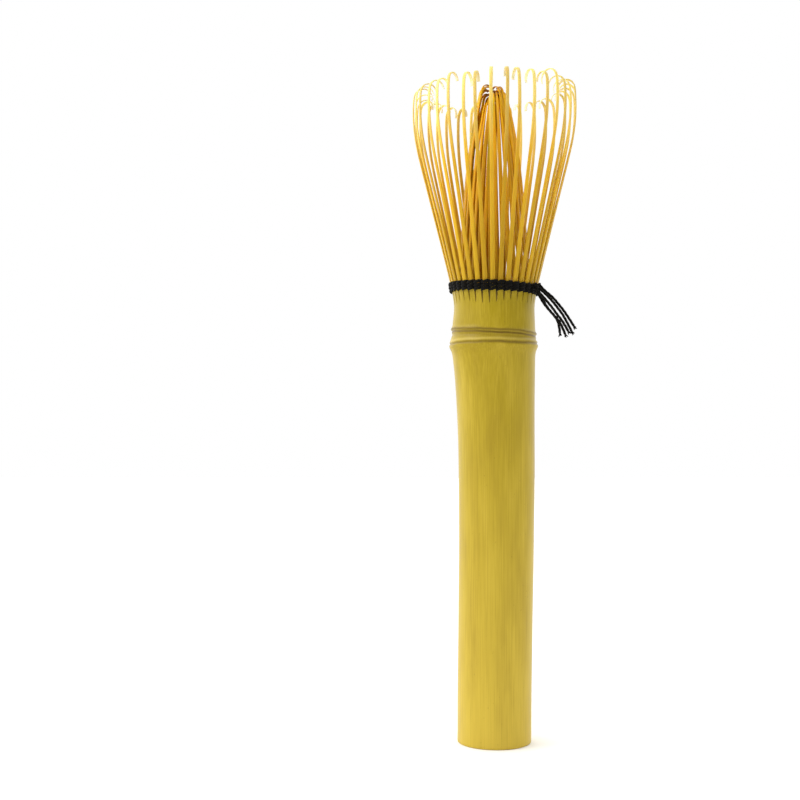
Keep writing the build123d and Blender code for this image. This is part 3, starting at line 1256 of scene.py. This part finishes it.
@dataclass
class Studio:
    """A white paper floor, soft light from all round, a small soft box at the upper left, and the camera.

    Places are in metres, and the lens and the sensor in millimetres. The five lights are strengths by
    direction, and the backdrop is what the camera sees behind the floor.
    """

    floor_half: float = 2.0
    eye: tuple[float, float, float] = (-0.0279, -0.377, 0.0917)
    pitch_up: float = 1.295
    lens: float = 57.45
    sensor: float = 36.0
    near_clip: float = 0.01
    front_light: float = 0.45
    left_light: float = 0.98
    right_light: float = 0.35
    back_light: float = 0.9
    top_light: float = 0.45
    backdrop: float = 1.0
    lamp_place: tuple[float, float, float] = (-0.17, -0.05, 0.26)
    lamp_aim: tuple[float, float, float] = (0.0, 0.0, 0.13)
    lamp_side: float = 0.1
    lamp_power: float = 0.19

    def build(self) -> None:
        """Makes the floor, the light and the camera."""
        points = np.array([(-1, -1, 0), (1, -1, 0), (1, 1, 0), (-1, 1, 0)], float) * self.floor_half / MM
        floor = put_mesh("paper_floor", points, np.array([[0, 1, 2, 3]]), points[:, :2], {})
        floor.data.materials.append(StudioPaper().make())
        self.build_light()
        self.build_lamp()
        self.build_camera()

    def build_light(self) -> None:
        """Lights the scene from all round: dim behind the camera, bright at the left, behind and above."""
        world = bpy.data.worlds.new("soft_box")
        bpy.context.scene.world = world
        world.use_nodes = True
        tree = world.node_tree
        tree.nodes.clear()
        direction = add_node(tree, "ShaderNodeTexCoord", {}).outputs["Generated"]
        axes = add_node(tree, "ShaderNodeSeparateXYZ", {0: direction}).outputs
        # each share of the light comes on along one axis of the direction: the axis, where it starts and is
        # full, and its strength there and there
        shares = (
            (0, -0.1, -0.95, self.front_light, self.front_light + self.left_light),
            (0, 0.3, 0.95, 0, self.right_light),
            (1, -0.4, 0.7, 0, self.back_light),
            (2, 0.15, 0.9, 0, self.top_light),
        )
        strength = 0.0
        for axis, start, full, low, high in shares:
            rise = {0: axes[axis], 1: start, 2: full, 3: low, 4: high}
            share = add_node(tree, "ShaderNodeMapRange", rise).outputs[0]
            strength = add_node(tree, "ShaderNodeMath", {0: strength, 1: share}, operation="ADD").outputs[0]
        # the backdrop itself is plain white paper, however bright its light is
        seen = add_node(tree, "ShaderNodeLightPath", {}).outputs["Is Camera Ray"]
        plain = {0: seen, 2: strength, 3: self.backdrop}
        strength = add_node(tree, "ShaderNodeMix", plain, data_type="FLOAT").outputs[0]
        light = add_node(tree, "ShaderNodeBackground", {"Color": (1, 1, 1, 1), "Strength": strength})
        add_node(tree, "ShaderNodeOutputWorld", {"Surface": light.outputs[0]})
        bpy.context.scene.view_settings.view_transform = "Standard"

    def build_lamp(self) -> None:
        """Hangs a small soft box at the upper left. It lights the node and the tines more than the foot."""
        light = bpy.data.lights.new("soft_box_left", "AREA")
        light.shape = "SQUARE"
        light.size = self.lamp_side
        light.energy = self.lamp_power
        lamp = bpy.data.objects.new("soft_box_left", light)
        bpy.context.scene.collection.objects.link(lamp)
        lamp.location = self.lamp_place
        lamp.visible_camera = False
        towards = Vector(self.lamp_aim) - Vector(self.lamp_place)
        lamp.rotation_euler = towards.to_track_quat("-Z", "Y").to_euler()

    def build_camera(self) -> None:
        """Stands the camera low in front, a little to the left of the whisk, tipped slightly up."""
        camera = bpy.data.cameras.new("camera")
        camera.lens = self.lens
        camera.sensor_width = self.sensor
        camera.clip_start = self.near_clip
        holder = bpy.data.objects.new("camera", camera)
        bpy.context.scene.collection.objects.link(holder)
        holder.location = self.eye
        holder.rotation_euler = (math.radians(90 + self.pitch_up), 0, 0)
        bpy.context.scene.camera = holder


def main() -> None:
    """Builds the whisk and its studio in order."""
    logging.basicConfig(level=logging.INFO, format="%(message)s")
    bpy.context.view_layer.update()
    Studio().build()
    dress(HandleCulm().build(), CulmSkin().make(), "handle", "handle_culm")
    outer = {"root": "#C29C1E", "middle": "#D6AB28", "tip": "#F2E08A", "end": "#FDF8DA"}
    OuterTines().build(SplitBamboo("bamboo_split_shaved_outer", **outer).make())
    # the inner tines are finer, so they glow more, and their curled ends are dark; their colour is lighter
    # towards the tip, partly their own and partly painted light that shines through them from behind
    inner = {"root": "#BC921A", "middle": "#D29C10", "tip": "#E8AE16", "end": "#8A4C08", "glow": 0.7}
    InnerTines().build(SplitBamboo("bamboo_split_shaved_inner", **inner).make())
    cotton = CottonThread().make()
    ThreadBand().build(cotton)
    ends = ThreadEnds()
    ends.build_knot(cotton)
    ends.build_tails(cotton)


if __name__ == "__main__":
    main()
